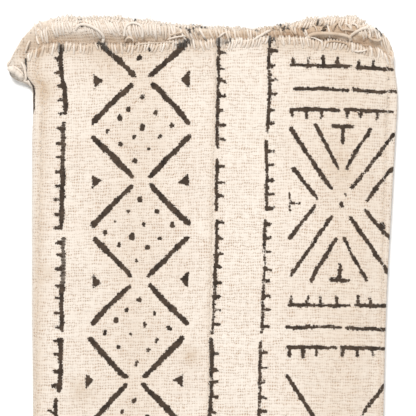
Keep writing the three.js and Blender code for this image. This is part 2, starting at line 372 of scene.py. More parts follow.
def face_relief(along, down):
    """How far a face of the cloth stands off its plain thickness."""
    seam = seam_distance(along)
    ridge = SEAM_RIDGE * bell(seam, SEAM_RIDGE_WIDTH)
    groove = SEAM_GROOVE * bell(seam, SEAM_GROOVE_WIDTH)
    hem = HEM_SWELL * bell(np.minimum(down, CLOTH_LENGTH - down), HEM_SWELL_RUN)
    bend = SLUBS["bend"] * np.sin(along * SLUBS["bend_along"])
    slubs = SLUBS["height"] * np.sin(down * SLUBS["down"] + bend) * np.sin(along * SLUBS["along"])
    patches = np.sin(along * SLUBS["patch_along"] + down * SLUBS["patch_down"])
    return ridge - groove + hem + slubs * patches


def skin(stretch, share, down, side):
    """Points on a face of the cloth. side is 1 on the painted face, -1 on the back."""
    middle, along = on_cloth(stretch, share, down)
    off, _ = directions(stretch, share, down)
    relief = face_relief(along, np.broadcast_to(down, along.shape))
    if side > 0 and stretch == "bottom":
        relief = np.minimum(relief, 0)
    moved = middle + off * (side * (THICKNESS / 2 + relief))[..., None]
    if stretch == "top":
        moved[..., 2] += crease_relief(along, down)
    return moved, along


def weave_place(points, along):
    """Where points lie in the weave: along the weft, and down the warp from the hem."""
    down = -points[..., 1]
    bow = through(WEFT_BOW, "across", "bow", points[..., 0])
    return np.stack([along, down + bow * ease(1 - down / WEFT_BOW_FADE)], axis=-1)


# One line of the mesh's points down the cloth: where it lies in its stretch, the rows it has
# on the painted face, and whether the back has it too.
Column = namedtuple("Column", "stretch share rows in_back")


def row_sets():
    """The rows of the mesh, and which of them each kind of column has."""
    count = int(round(CLOTH_LENGTH / FINE))
    downs = np.linspace(0, CLOTH_LENGTH, count + 1)
    middle = list(range(0, count, 2)) + [count]
    wide = int(round(COARSE_STEP / FINE / 2)) * 2
    start = int(COARSE_FROM / FINE / 2) * 2
    coarse = list(range(0, start, 2)) + list(range(start, count - 2, wide)) + [count]
    return downs, {"fine": list(range(count + 1)), "middle": middle, "coarse": coarse}


# How each stretch is divided: the spacing of its columns, the rows they have, and how many
# columns of the painted face go to one of the back.
DIVISIONS = {
    "bottom": (3.0, "middle", 2),
    "outer": (1.2, "fine", 1),
    "top": (FINE, "fine", 4),
    "right": (0.63, "fine", 1),
    "second": (2.0, "coarse", 1),
    "inner": (0.7, "coarse", 1),
    "third": (3.2, "coarse", 1),
}


def columns_of_mesh(sets):
    """The columns round the folded section."""
    f = folds_at(np.array(0.0))
    columns = []
    for stretch in STRETCHES:
        spacing, kind, per_back = DIVISIONS[stretch]
        start, end = ends_of(stretch, f)
        count = int(round(float(end - start) / spacing / per_back)) * per_back
        for i in range(count + 1):
            if i == 0 and columns:
                continue
            columns.append(Column(stretch, i / count, sets[kind], i % per_back == 0))
    return columns


def cloth_mesh():
    """The folded cloth as one closed mesh, with where each of its points lies in the weave."""
    downs, sets = row_sets()
    columns = columns_of_mesh(sets)
    points, weave, index = [], [], {}
    total = 0
    for side in (1, -1):
        for c, column in enumerate(columns):
            if side < 0 and not column.in_back:
                continue
            rows = column.rows if side > 0 else sets["coarse"]
            down = downs[rows]
            place, along = skin(column.stretch, column.share, down, side)
            points.append(place)
            weave.append(np.column_stack([weave_place(place, along), np.full(len(rows), side)]))
            for k, r in enumerate(rows):
                index[side, c, r] = total + k
            total += len(rows)
    edge = {}
    last, end = len(columns) - 1, len(downs) - 1

    def add_edge(c, r):
        """A point on the cloth's cut edge, a little outside both faces."""
        nonlocal total
        spot = (columns[c].stretch, columns[c].share, downs[r])
        middle, along = on_cloth(*spot)
        off, to_hem = directions(*spot)
        push = to_hem * ((r == 0) - (r == end))
        push = push + np.cross(to_hem, off) * ((c == last) - (c == 0))
        place = middle + unit(push) * EDGE_ROUND
        points.append(place[None])
        weave.append(np.append(weave_place(place, along), 0)[None])
        edge[c, r] = total
        total += 1

    for c in range(len(columns)):
        add_edge(c, 0)
        add_edge(c, end)
    for c in (0, last):
        for r in columns[c].rows[1:-1]:
            add_edge(c, r)

    faces = []

    def add_face(ring, flip):
        faces.append(ring[::-1] if flip else ring)

    def strip(side, a, b, rows_a, rows_b):
        """The faces between two neighbouring columns, whichever has fewer rows."""
        few = rows_a if len(rows_a) < len(rows_b) else rows_b
        at_a = {r: k for k, r in enumerate(rows_a)}
        at_b = {r: k for k, r in enumerate(rows_b)}
        for r0, r1 in zip(few[:-1], few[1:]):
            left = [index[side, a, r] for r in rows_a[at_a[r0]:at_a[r1] + 1]]
            right = [index[side, b, r] for r in rows_b[at_b[r0]:at_b[r1] + 1]]
            add_face(left + right[::-1], side < 0)

    for c in range(last):
        strip(1, c, c + 1, columns[c].rows, columns[c + 1].rows)
    back = [c for c in range(len(columns)) if columns[c].in_back]
    for a, b in zip(back[:-1], back[1:]):
        strip(-1, a, b, sets["coarse"], sets["coarse"])
        between = list(range(a, b + 1))
        for r, flip in ((0, False), (end, True)):
            add_face([edge[c, r] for c in between] + [index[-1, b, r], index[-1, a, r]], flip)
    for c in range(last):
        for r, flip in ((0, False), (end, True)):
            add_face([index[1, c, r], index[1, c + 1, r], edge[c + 1, r], edge[c, r]], flip)
    for c, flip in ((0, False), (last, True)):
        rows = columns[c].rows
        for r0, r1 in zip(rows[:-1], rows[1:]):
            add_face([index[1, c, r0], edge[c, r0], edge[c, r1], index[1, c, r1]], flip)
        coarse = sets["coarse"]
        for r0, r1 in zip(coarse[:-1], coarse[1:]):
            inside = [edge[c, r] for r in rows[::-1] if r0 <= r <= r1]
            add_face(inside + [index[-1, c, r0], index[-1, c, r1]], flip)
    return np.concatenate(points), np.concatenate(weave), faces


# The painted pattern, in millimetres along and down the cloth. Columns of diamonds and of
# crosses take turns across the cloth.
DIAMOND_AXIS = 324.3
COLUMN_PERIOD = 297.0
CROSS_OFFSET = 148.5
DIAMOND = {
    "first": 26.5, "pitch": 73.3, "gap": (7.0, 3.4), "gap_strays": (0.6, 0.4),
    "reach": 34.4, "drop": 31.2, "reach_strays": (0.8, 0.7), "width": 3.9, "spread": (0.8, 3.2),
}
WANDER = {"down": (0, 26, 100, 175, 247, 400), "off": (0.3, 0, 1.5, 2.3, -0.2, 0)}
WEDGE = {"offset": 28.2, "length": 7.0, "height": 11.2}
DOTS = {"first": (-0.5, -22.5), "step": (-8.3, 7.5), "row": (11.6, 10.4), "radius": 1.6}
DOT_ROWS = 3
DOTS_IN_ROW = 4

# How a hand wavers: the spacing of a stroke's points, how far they stray, how far a stroke of
# the length "bow_from" bows, how much its width and darkness vary, and how narrow its end is.
BRUSH = {
    "spacing": 4.5, "waver": 0.16, "bow": 0.35, "bow_from": 30, "uneven": 0.12,
    "end": 0.85, "tone": 0.06,
}
DOT_SMEAR = (0.25, 1.0)
DOT_TAPER = 0.8

# The lines beside each column of diamonds, painted in brush loads: the line that each load is
# part of, where it starts and ends down the cloth, how far it stands from the axis at each of
# its ends, and its width.
LOADS = {
    "line": (0, 0, 0, 0, 1, 1, 1, 1, 1, 1, 2, 2, 2, 2, 2, 3, 3, 3, 3, 3, 3, 3),
    "from": (
        -4, 55, 150, 260, -4, 54.8, 139.5, 214, 258.5, 336,
        -4, 84.7, 129.3, 215, 302, -4, 71.6, 129.3, 151, 178, 217.7, 311,
    ),
    "to": (
        49, 146, 255, 405, 50.4, 135.1, 210, 254.2, 331, 405,
        78.2, 123.4, 213.3, 297, 405, 67, 124.2, 153, 181, 213, 306, 405,
    ),
    "starts": (
        -78.6, -82, -82.5, -82, -57.2, -56.2, -54.6, -54.7, -58, -56,
        55.5, 57, 57.7, 55.3, 55, 93.2, 92.5, 93.2, 93, 92.8, 91.4, 90.6,
    ),
    "ends": (
        -80.6, -82.5, -82, -82, -55.5, -56.5, -54.1, -55.7, -57, -57,
        56.9, 57.2, 56.1, 54.3, 56, 93.2, 94, 93, 92.8, 92.4, 90.4, 92,
    ),
    "width": (
        2.2, 2.2, 2.2, 2.2, 3.3, 3.3, 3.2, 3.3, 3.1, 3.1,
        2.4, 2.6, 2.3, 2.5, 2.3, 2.5, 2.3, 2.1, 1.4, 2.1, 2.4, 2.2,
    ),
}
# Which side of each line its ticks stand on, 0 being none.
TICK_SIDES = (0, -1, 1, 1)
TICK = {"first": 7.6, "pitch": 10.45, "length": 4.6, "width": 2.35, "after": 2, "before": 1}

CROSS = {
    "first": 118.0, "pitch": 181.4, "width": 2.7, "thin": 1.6,
    "outer_strays": (0.7, 0.9), "inner_strays": (0.5, 0.7),
}
CROSS_ARMS = {
    "from_along": (6.7, 2.9, 18.2),
    "from_down": (10.5, 26.0, 3.4),
    "to_along": (36.8, 20.3, 36.5),
    "to_down": (53.3, 55.5, 26.0),
}
CROSS_DOTS = {
    "along": (0, 3, 30.5), "down": (0, -7, 15.5), "radius": (1.8, 0.9, 2.3), "tone": (1, 0.8, 1),
}
POST = {"bar": 56.0, "half": 7.0, "inner": 44.5, "side_bar": 38.0, "side_inner": 30.5}

# The rows of bars between the crosses, the way their teeth point and where they are split.
BARS = {"down": (18.4, 35.0, 49.6), "teeth": (-1, 0, 1), "split": (6.5, 2.0, -2.0)}
BARS_PITCH = 173.6
BAR = {"half": 37.0, "gap": 4.6, "width": 2.6}
TOOTH = {"length": 5.8, "pitch": 10.8, "first": 0.8, "room": 0.6, "width": 2.47}

RANDOM = np.random.default_rng(20)

# Depths in the paint: the least that counts, one that is well inside, and how much less soaks
# through to the back and over the cut edge. BACK_FADE is how dark the back is beside the face.
NO_PAINT = -4.0
INSIDE = 99.0
BACK_SOAK = 1.5
EDGE_SOAK = 0.4
BACK_FADE = 0.85

# Marks that have soaked through behind the top hem, and how large they are.
SPECKS = {
    "across": (190, 199.3, 214.3, 213, 227.7, 254, 184.6, 35.5, 106, 114),
    "up": (11.2, 11.4, 12.4, 10.3, 8.2, 7.6, 8.6, 14.6, 10.8, 10.3),
    "size": (2.7, 2.8, 3.0, 3.2, 2.6, 2.6, 2.4, 2.5, 2.4, 2.4),
}
SPECK_HALF = 0.8


def jitter(size):
    return float(RANDOM.normal(0, size))


def astray(centre, signs, out, sizes):
    """A place out from a centre, to the sides that the signs tell, that strays a little."""
    return [centre[k] + signs[k] * (out[k] + jitter(sizes[k])) for k in range(2)]


class Painting:
    """Marks painted on the cloth, each kept as the box it lies in, a function that tells how
    deep inside it places lie, and how dark it is."""

    def __init__(self):
        self.marks = []

    def stroke(self, points, half, tone):
        """A mark along points, with a half width at each of them."""

        def depth_of(x, y):
            depth = np.full(len(x), NO_PAINT)
            for i in range(len(points) - 1):
                share, off = from_stroke(x, y, points[i], points[i + 1])
                t = np.clip(share, 0, 1)
                depth = np.maximum(depth, half[i] * (1 - t) + half[i + 1] * t - off)
            return depth

        reach = half.max()
        self.marks.append((points.min(0) - reach, points.max(0) + reach, depth_of, tone))

    def wedge(self, corners):
        """A solid triangle."""

        def depth_of(x, y):
            depth = np.full(len(x), INSIDE)
            for a, b in zip(corners, np.roll(corners, -1, axis=0)):
                side = (b - a) / np.hypot(*(b - a))
                depth = np.minimum(depth, (y - a[1]) * side[0] - (x - a[0]) * side[1])
            return depth

        self.marks.append((corners.min(0), corners.max(0), depth_of, 1.0))

    def line(self, start, end, width, tone=1.0):
        """A brushed line that wavers a little, and whose ends are rounded."""
        start, end = np.array(start, float), np.array(end, float)
        length = np.hypot(*(end - start))
        count = max(int(length / BRUSH["spacing"]), 1) + 1
        t = np.linspace(0, 1, count)[:, None]
        normal = np.array([start[1] - end[1], end[0] - start[0]]) / max(length, 1e-6)
        waver = RANDOM.normal(0, BRUSH["waver"], count)
        bow = jitter(BRUSH["bow"]) * np.sin(math.pi * t[:, 0]) * min(length / BRUSH["bow_from"], 1)
        points = start + (end - start) * t + normal * (waver + bow)[:, None]
        half = width / 2 * (1 + RANDOM.normal(0, BRUSH["uneven"], count))
        half[-1] *= BRUSH["end"]
        self.stroke(points, half, tone + jitter(BRUSH["tone"]))

    def dot(self, place, radius, tone=1.0):
        place = np.array(place, float)
        points = np.stack([place, place + RANDOM.normal(0, DOT_SMEAR)])
        self.stroke(points, np.array([radius, radius * DOT_TAPER]), tone)

    def cover(self, place):
        """How deep inside the nearest mark each place lies, and how dark that mark is."""
        depth = np.full(len(place), NO_PAINT)
        tone = np.ones(len(place))
        for low, high, depth_of, mark_tone in self.marks:
            in_box = (place > low + NO_PAINT) & (place < high - NO_PAINT)
            near = np.flatnonzero(in_box.all(axis=1))
            found = depth_of(*place[near].T)
            deeper = found > depth[near]
            depth[near[deeper]] = found[deeper]
            tone[near[deeper]] = mark_tone
        return depth, tone

    def depth_at(self, along, down, side):
        """How deep in the paint places on a face of the cloth lie."""
        depth, _ = self.cover(np.column_stack([along, down]))
        return depth if side > 0 else depth - BACK_SOAK


def paint_lines(painting, axis):
    """The lines beside a column of diamonds, and the ticks on three of them."""
    for line, start, end, starts, ends, width in zip(*LOADS.values()):
        lighter = 1 + jitter(0.08)
        top, foot = axis + starts, axis + ends
        middle, between = (start + end) / 2, (top + foot) / 2 + jitter(0.4)
        painting.line((top, start + width / 2), (between, middle), width, lighter)
        painting.line((between, middle), (foot, end - width / 2), width, lighter)
        side = TICK_SIDES[line]
        first = math.ceil((start + TICK["after"] - TICK["first"]) / TICK["pitch"])
        last = math.floor((end - TICK["before"] - TICK["first"]) / TICK["pitch"])
        for i in range(first, (last + 1) * abs(side)):
            down = TICK["first"] + i * TICK["pitch"] + jitter(0.5)
            along = top + (foot - top) * (down - start) / (end - start)
            tip = (along + side * (TICK["length"] + jitter(0.4)), down + jitter(0.6))
            painting.line((along, down), tip, TICK["width"] + jitter(0.15))


def paint_diamonds(painting, axis):
    """A column of diamonds that all but touch, with a wedge at each side of each meeting."""
    d = DIAMOND
    count = int(CLOTH_LENGTH / d["pitch"]) + 2
    for i in range(-1, count):
        meeting = d["first"] + i * d["pitch"]
        middle = axis + float(through(WANDER, "down", "off", meeting))
        for side in (-1, 1):
            for way in (-1, 1):
                centre, signs = (middle, meeting), (side, way)
                inner = astray(centre, signs, d["gap"], d["gap_strays"])
                spread = d["spread"][side > 0] if way + i < 0 else 0.0
                outer = astray(centre, signs, (d["reach"] + spread, d["drop"]), d["reach_strays"])
                painting.line(outer, inner, d["width"] + jitter(0.2))
            paint_wedge(painting, middle, side, meeting)
        paint_dots(painting, middle, meeting + d["pitch"] / 2)


def paint_wedge(painting, axis, side, meeting):
    """A small solid triangle that points to the meeting of two diamonds."""
    w = WEDGE
    base = axis + side * (w["offset"] + w["length"] + jitter(0.5))
    apex = (base - side * (w["length"] + jitter(0.4)), meeting + jitter(0.8))
    half = w["height"] / 2 + jitter(0.5)
    corners = [apex, (base, meeting - side * half), (base + jitter(0.4), meeting + side * half)]
    painting.wedge(np.array(corners))


def paint_dots(painting, axis, middle):
    """The dots inside a diamond, in slanting rows."""
    for row in range(DOT_ROWS):
        for i in range(DOTS_IN_ROW):
            along = DOTS["first"][0] + row * DOTS["row"][0] + i * DOTS["step"][0]
            down = DOTS["first"][1] + row * DOTS["row"][1] + i * DOTS["step"][1]
            radius = DOTS["radius"] * (1 + jitter(0.18))
            painting.dot((axis + along + jitter(0.8), middle + down + jitter(0.8)), radius)


# Short strokes along the top hem, at the heads of a diamond's arm and of two lines.
CAPS = {
    "along": (349.5, 380.4, 416.6),
    "down": (1.4, 1.6, 1.0),
    "to_along": (359.5, 388.4, 422.5),
    "to_down": (1.1, 0.6, 0.3),
    "width": (2.3, 1.8, 1.8),
}


def paint_caps(painting):
    for along, down, to_along, to_down, width in zip(*CAPS.values()):
        painting.line((along, down), (to_along, to_down), width)


def paint_cross(painting, axis, middle, full):
    """A cross of three strokes to each arm, with dots in it, a post at its upper and its lower
    end and a thin one at its left. One that isn't full has no post at its upper end, and two
    strokes to each upper arm."""
    for side in (-1, 1):
        for way in (-1, 1):
            for i, (inner, inner_down, outer, outer_down) in enumerate(zip(*CROSS_ARMS.values())):
                if i == 1 and way < 0 and not full:
                    continue
                centre, signs = (axis, middle), (side, way)
                start = astray(centre, signs, (outer, outer_down), CROSS["outer_strays"])
                end = astray(centre, signs, (inner, inner_down), CROSS["inner_strays"])
                painting.line(start, end, CROSS["width"] + jitter(0.12))
    for along, down, radius, tone in zip(*CROSS_DOTS.values()):
        painting.dot((axis + along, middle + down), radius, tone)
    half, inner = POST["half"], POST["inner"]
    for way in (-1, 1):
        if way < 0 and not full:
            continue
        bar = middle + way * (POST["bar"] + jitter(0.5))
        painting.line((axis - half, bar), (axis + half, bar + jitter(0.4)), CROSS["width"])
        painting.line((axis, bar), (axis + jitter(0.4), middle + way * inner), CROSS["width"])
    bar = axis - POST["side_bar"]
    painting.line((bar, middle - half), (bar + jitter(0.4), middle + half), CROSS["thin"])
    painting.line((bar, middle), (axis - POST["side_inner"], middle), CROSS["thin"])


def paint_bars(painting, axis, start):
    """The rows of bars above a cross, each in two lengths, with teeth on some."""
    for row, teeth, off in zip(*BARS.values()):
        shift = jitter(0.8)
        split = axis + off
        pieces = ((axis - BAR["half"], split), (split + BAR["gap"], axis + BAR["half"]))
        for low, high in pieces:
            down = start + row + jitter(0.5)
            foot = down + jitter(0.4)
            painting.line((low + shift, down), (high + shift, foot), BAR["width"])
            count = int((high - low) / TOOTH["pitch"] + TOOTH["room"])
            for i in range(count * abs(teeth)):
                along = low + shift + TOOTH["first"] + i * TOOTH["pitch"] + jitter(0.6)
                tip = (along + jitter(0.4), down + teeth * (TOOTH["length"] + jitter(0.3)))
                painting.line((along, down), tip, TOOTH["width"])


def behind_top_hem(across, up):
    """Where a place of the second layer lies, as the weave and as the hem's stitches count it."""
    f = folds_at(np.array(0.0))
    along = float(f["right_end"] + f["right_centre"]) - across
    in_weave = weave_place(np.array([across, up]), along)
    return in_weave, np.array([along, through(HEMS, "across", "second", across) - up])


def paint_specks(painting):
    """The small marks that show on the back of the second layer and on its stitches."""
    for across, up, size in zip(*SPECKS.values()):
        for place in behind_top_hem(across, up):
            end = place + (SPECK_HALF, jitter(SPECK_HALF))
            painting.line(place - (SPECK_HALF, 0.0), end, 2 * size)


def whole_pattern():
    """Every painted mark of the cloth."""
    painting = Painting()
    paint_specks(painting)
    paint_caps(painting)
    for k in range(-1, 3):
        axis = DIAMOND_AXIS + k * COLUMN_PERIOD
        paint_diamonds(painting, axis)
        paint_lines(painting, axis)
        for i in range(-1, 3):
            middle = CROSS["first"] + i * CROSS["pitch"]
            paint_cross(painting, axis + CROSS_OFFSET, middle, i % 2 == 0)
            paint_bars(painting, axis + CROSS_OFFSET, i * BARS_PITCH)
    return painting


# Cream cloth, in linear colour, and how it changes over the cloth: its stains and bleaching, and
# painted shade and painted highlights.
STAINS = {
    "along": (251, 259, 300, 285, 365, 372, 470, 230),
    "down": (30, 166, 12, 253, 229, 330, 90, 22),
    "radius": (11, 6, 14, 9, 7, 15, 12, 15),
    "strength": (0.7, 0.5, 0.4, 0.6, 0.7, 0.4, 0.35, -0.3),
}

# A washed-out band down the cloth, how soft its sides are and how pale it is.
BLEACHED = {"from": 384.0, "to": 414.0, "soft": 4.0, "strength": 0.6}
SEAM_TAN = {"strength": 0.35, "half_width": 2.5}

# Broad bands down the cloth: paler on the left fold, a painted highlight, and tanner beside it
# and under the painted columns.
TANNED_AND_HIGHLIT = {
    "along": (240, 252, 324, 478),
    "half_width": (7, 6, 24, 30),
    "strength": (-0.75, 0.28, 0.3, 0.4),
}
# Tan along the hems of the top layer and of the layers behind it, and how far each runs: behind the
# top hem it is partly the hems' tan and partly painted shade.
HEM_TAN = {"top": 0.7, "top_run": 7.5, "behind": 0.8, "behind_run": 18.0}

# The shaded strip of the layers just behind the top hem.
HEM_SHADE = {"across": (0, 108, 160, 200, 235, 262), "strength": (0.1, 0.1, 0.3, 0.6, 0.6, 0.1)}
SHADE_MIDDLE = 2.5
SHADE_RUN = 4.5

# Shaded hollows between the rolls behind the top hem.
HOLLOWS = {
    "across": (163, 187, 196, 208, 222, 238, 246, 205, 76, 132, 10, 150, 180, 243, 232, 60),
    "up": (4.4, 7.5, 10, 12, 12, 5, 4, 2, 2, 3, 3, 5, 6, 3, 12, 2),
    "radius": (5, 5, 5, 8, 8, 7, 6, 7, 7, 8, 6, 12, 12, 7, 6, 9),
    "strength": (0.6, 0.9, 1, 1, 1, 0.4, 0.3, 0.2, 0.3, 0.3, 0.3, 0.3, 0.5, 0.3, 0.8, 0.2),
}
HOLLOW_SQUASH = 1.4
# How much paler the crests of the rolls are painted, a painted highlight.
CREST_HIGHLIGHT = 0.36


def stain_and_shade_at(place, plan):
    """Where the cream is yellower or darker, above zero, or whiter, below it: the cloth's stains, a
    painted highlight on the left fold, and on the layers behind the top hem painted shade and a
    painted highlight on the rolls.
    """
    along, down = place[:, 0], place[:, 1]
    f = folds_at(np.array(0.0))
    on_top = (along > f["outer_end"]) & (along < f["right_start"])
    # The tan along the hems; on the layers behind the top hem it is partly painted shade.
    worn = np.where(on_top, HEM_TAN["top"], HEM_TAN["behind"])
    run = np.where(on_top, HEM_TAN["top_run"], HEM_TAN["behind_run"])
    stain = SEAM_TAN["strength"] * bell(seam_distance(along), SEAM_TAN["half_width"])
    stain += worn * bell(down, run)
    for middle, half_width, strength in zip(*TANNED_AND_HIGHLIT.values()):
        stain += strength * bell(along - middle, half_width)
    for middle, start, radius, strength in zip(*STAINS.values()):
        stain += strength * bell(np.hypot(along - middle, down - start), radius)
    across, y = plan[:, 0], plan[:, 1]
    # Behind the top hem: a painted highlight on the crests of the rolls, and painted shade in the
    # hollows between them and in the strip just behind the top hem.
    behind = -CREST_HIGHLIGHT * ridges_at(across, y)
    for middle, up, radius, strength in zip(*HOLLOWS.values()):
        off = np.hypot(across - middle, (y - up) * HOLLOW_SQUASH)
        behind += strength * bell(off, radius)
    past = y - through(HEMS, "across", "top", across)
    shaded = through(HEM_SHADE, "across", "strength", across)
    behind += shaded * bell(past - SHADE_MIDDLE, SHADE_RUN)
    band = ease((along - BLEACHED["from"]) / BLEACHED["soft"])
    band = band * ease((BLEACHED["to"] - along) / BLEACHED["soft"])
    return stain + behind * ~on_top - BLEACHED["strength"] * band


def maths(operation):
    """A method that puts a maths node behind a wire."""

    def method(wire, *others):
        return wire.board.add("ShaderNodeMath", {"operation": operation}, (wire, *others))

    return method


class Wire:
    """A socket whose maths is written as Python expressions."""

    def __init__(self, board, socket):
        self.board = board
        self.socket = socket

    __add__ = maths("ADD")
    __sub__ = maths("SUBTRACT")
    __mul__ = maths("MULTIPLY")
    __truediv__ = maths("DIVIDE")
    floor = maths("FLOOR")
    absolute = maths("ABSOLUTE")
    cosine = maths("COSINE")
    sine = maths("SINE")
    power = maths("POWER")
    larger = maths("MAXIMUM")
    smaller = maths("MINIMUM")

    def __rsub__(self, other):
        return self * -1 + other

    def clamped(self):
        return self.larger(0.0).smaller(1.0)


class Board:
    """The nodes of one node tree. add() makes any node and gives a wire from its output."""

    def __init__(self, tree):
        self.tree = tree
        tree.nodes.clear()

    def add(self, kind, settings=None, sockets=(), out=0):
        node = self.tree.nodes.new(kind)
        for name, value in (settings or {}).items():
            setattr(node, name, value)
        pairs = sockets.items() if isinstance(sockets, dict) else enumerate(sockets)
        for name, value in pairs:
            if isinstance(value, Wire):
                self.tree.links.new(value.socket, node.inputs[name])
            else:
                node.inputs[name].default_value = value
        return Wire(self, node.outputs[out]) if node.outputs else None

    def attribute(self, name, out="Fac"):
        return self.add("ShaderNodeAttribute", {"attribute_name": name}, out=out)

    def vector(self, x, y):
        return self.add("ShaderNodeCombineXYZ", None, (x, y))

    def noise(self, vector, scale, detail=2.0, roughness=0.5):
        sockets = {"Vector": vector, "Scale": scale, "Detail": detail, "Roughness": roughness}
        return self.add("ShaderNodeTexNoise", None, sockets)

    def chance(self, number):
        return self.add("ShaderNodeTexWhiteNoise", {"noise_dimensions": "1D"}, {"W": number})

    def mix(self, factor, first, second):
        sockets = {0: factor, 6: first, 7: second}
        return self.add("ShaderNodeMix", {"data_type": "RGBA"}, sockets, out=2)


def new_material(name, nodes_of):
    """A material. nodes_of(board) adds its own nodes and gives its colour, roughness and
    height, how deep that relief is, and its sheen."""
    material = bpy.data.materials.new(name)
    material.use_nodes = True
    board = Board(material.node_tree)
    colour, roughness, height, depth, sheen = nodes_of(board)
    bump = board.add("ShaderNodeBump", None, {"Strength": 1.0, "Distance": depth, "Height": height})
    shader = board.add("ShaderNodeBsdfPrincipled", None, {
        "Base Color": colour, "Roughness": roughness, "Normal": bump,
        "Specular IOR Level": 0.2, "Sheen Weight": sheen,
    })
    board.add("ShaderNodeOutputMaterial", None, {"Surface": shader})
    return material


WARP_PITCH = 1.8
WEFT_PITCH = 2.3
WEAVE_DEPTH = 0.4 * MM
THREAD_DEPTH = 0.15 * MM
PAPER_DEPTH = 0.02 * MM
CREAM = (0.71, 0.615, 0.525, 1)
PALE = (0.78, 0.71, 0.625, 1)
STRAW = (0.56, 0.435, 0.315, 1)
# The tan of painted shade, in hollows and in the pits of the weave.
HOLLOW_SHADE = (0.43, 0.285, 0.185, 1)
MUD_BLACK = (0.014, 0.0105, 0.008, 1)
MUD_BROWN = (0.105, 0.070, 0.047, 1)
FLECK = (0.30, 0.17, 0.08, 1)
THREAD = (0.82, 0.745, 0.66, 1)
PAPER = (0.93, 0.93, 0.92, 1)


def woven_yarns(board, x, y, place):
    """Plain weave of uneven handspun yarn: its height, its gaps, and how its yarns vary."""

    def arch(value):
        """Rises from 0 at one whole number to 1 and back to 0 at the next."""
        return (value * math.pi).sine().absolute()

    drift = board.noise(place, 0.02, 2.0)
    wander = board.noise(board.vector(x * 0.03, y * 0.12), 1.0, 2.0)
    strip = (x / STRIP_WIDTH).floor() * 3.7
    sway = board.noise(place, 0.22, 2.0)
    across = x / WARP_PITCH + (drift - 0.5) * 3.0 + (sway - 0.5) * 1.4
    downward = y / WEFT_PITCH + (wander - 0.5) * 1.8 + strip + (0.5 - sway) * 1.1
    column, row = across.floor(), downward.floor()
    weft_over = ((across - 0.5 + row) * math.pi).cosine()
    warp_over = ((downward - 0.5 + column) * math.pi).cosine() * -1
    weft = arch(downward).power(0.7) * (weft_over * 0.36 + 0.64)
    warp = arch(across).power(0.7) * (warp_over * 0.42 + 0.42)
    thickness = board.noise(board.vector(x * 0.045, row * 5.3), 1.0, 1.0)
    height = weft.larger(warp) * (thickness * 0.7 + 0.65)
    cell = board.chance(column * 0.731 + row * 13.37)
    whole = 2 * math.pi
    pit = ((across * whole).cosine() + 1) * ((downward * whole).cosine() + 1) * 0.25
    yarns = board.chance(row + strip * 7.0) + board.chance(column * 1.3 + 0.5)
    gap = (1 - arch(across)).power(2.0) * board.chance(column * 2.1)
    rib = (1 - arch(downward)).power(1.5) * (cell * 0.6 + 0.4)
    return height, pit, gap + rib * 1.5, yarns + (thickness - 0.5) * 2.5, cell


def cloth_nodes(board):
    """Handspun cream cotton with dark paint on it that frays along the yarns."""
    place = board.attribute("weave", "Vector")
    x, y = (board.add("ShaderNodeSeparateXYZ", None, (place,), out=i) for i in range(2))
    height, pit, gap, yarns, cell = woven_yarns(board, x, y, place)
    fibre = board.noise(place, 1.9, 3.0, 0.65)

    cloudy = board.noise(place, 0.035, 3.0)
    cream = board.mix(cloudy * 1.1 - 0.02, CREAM, PALE)
    patchy = board.noise(place, 0.3, 2.0)
    # The attribute read here yellows the cream where stained and where painted shade lies behind
    # the top hem, whitens it where bleached and on the painted highlights, and darkens it most in
    # the painted shade of the hollows.
    stain = board.attribute("stain") * (patchy * 1.4 + 0.3)
    cream = board.mix(stain * 0.8, cream, STRAW)
    cream = board.mix(stain * -0.7, cream, PALE)
    cream = board.mix((stain - 1.0) * 0.7, cream, HOLLOW_SHADE)
    # Painted shade in the pits and gaps between the yarns and in the valleys between weft rows,
    # with the yarns' uneven tone, darkens the cream toward the shade tan.
    open_weave = board.noise(board.vector(x * 0.2, y * 0.2), 1.0, 2.0)
    hollow = pit * cell.power(1.6) * 2.2 + (1 - height).power(1.7) * 0.06 + gap * 0.14
    hollow = hollow * (open_weave * 1.3 + 0.05).clamped()
    shade = hollow * 0.6 + (0.5 - fibre) * 0.3 + yarns * 0.05 + cell * 0.05
    cloth = board.mix(shade - 0.05, cream, HOLLOW_SHADE)
    flecks = (board.noise(place, 0.55, 1.0) * 14.0 - 10.6).clamped() * 0.55
    cloth = board.mix(flecks, cloth, FLECK)

    fray = (board.noise(place, 0.75, 3.0, 0.7) - 0.5) * 1.2 + (height - 0.45) * 0.8
    fray = fray + (cell - 0.5) * 0.8
    edge = ((board.attribute("paint") + fray) / 0.5 + 0.5).clamped()
    soak = board.noise(place, 0.16, 3.0, 0.6)
    dark = board.attribute("tone")
    body = (dark * 1.95 - (1 - height) * 0.3 - soak * 0.5 - fibre * 0.45).clamped()
    mud = board.mix(soak * 1.6 + fibre * 0.5 - 0.6, MUD_BLACK, MUD_BROWN)
    colour = board.mix(edge * body, cloth, mud)
    relief = height * 0.14 - pit * cell * 0.8 + fibre * 0.5
    return colour, 0.95, relief, WEAVE_DEPTH, 0.08


def thread_nodes(clean):
    """Soft twisted cotton thread, between the cream of the cloth and a cleaner one."""

    def lay_out(board):
        place = board.add("ShaderNodeTexCoord", out="Object")
        fibre = board.noise(place, 2600.0, 2.0, 0.6)
        cloudy = board.noise(place, 120.0, 2.0)
        colour = board.mix(cloudy * 1.4 - 0.2, CREAM, clean)
        # A thread takes on the stains of the cloth beside it and its painted shade, darkest in the
        # hollows behind the top hem, and is darker in speckles along its fibres.
        stain = board.attribute("stain")
        colour = board.mix(stain * 0.55, colour, STRAW)
        colour = board.mix((stain - 0.9) * 0.55, colour, HOLLOW_SHADE)
        colour = board.mix((0.5 - fibre) * 0.7, colour, HOLLOW_SHADE)
        edge = (board.attribute("paint") + (fibre - 0.5) * 1.4 + 0.5).clamped()
        colour = board.mix(edge * 0.92, colour, MUD_BLACK)
        return colour, 0.9, fibre, THREAD_DEPTH, 0.1

    return lay_out


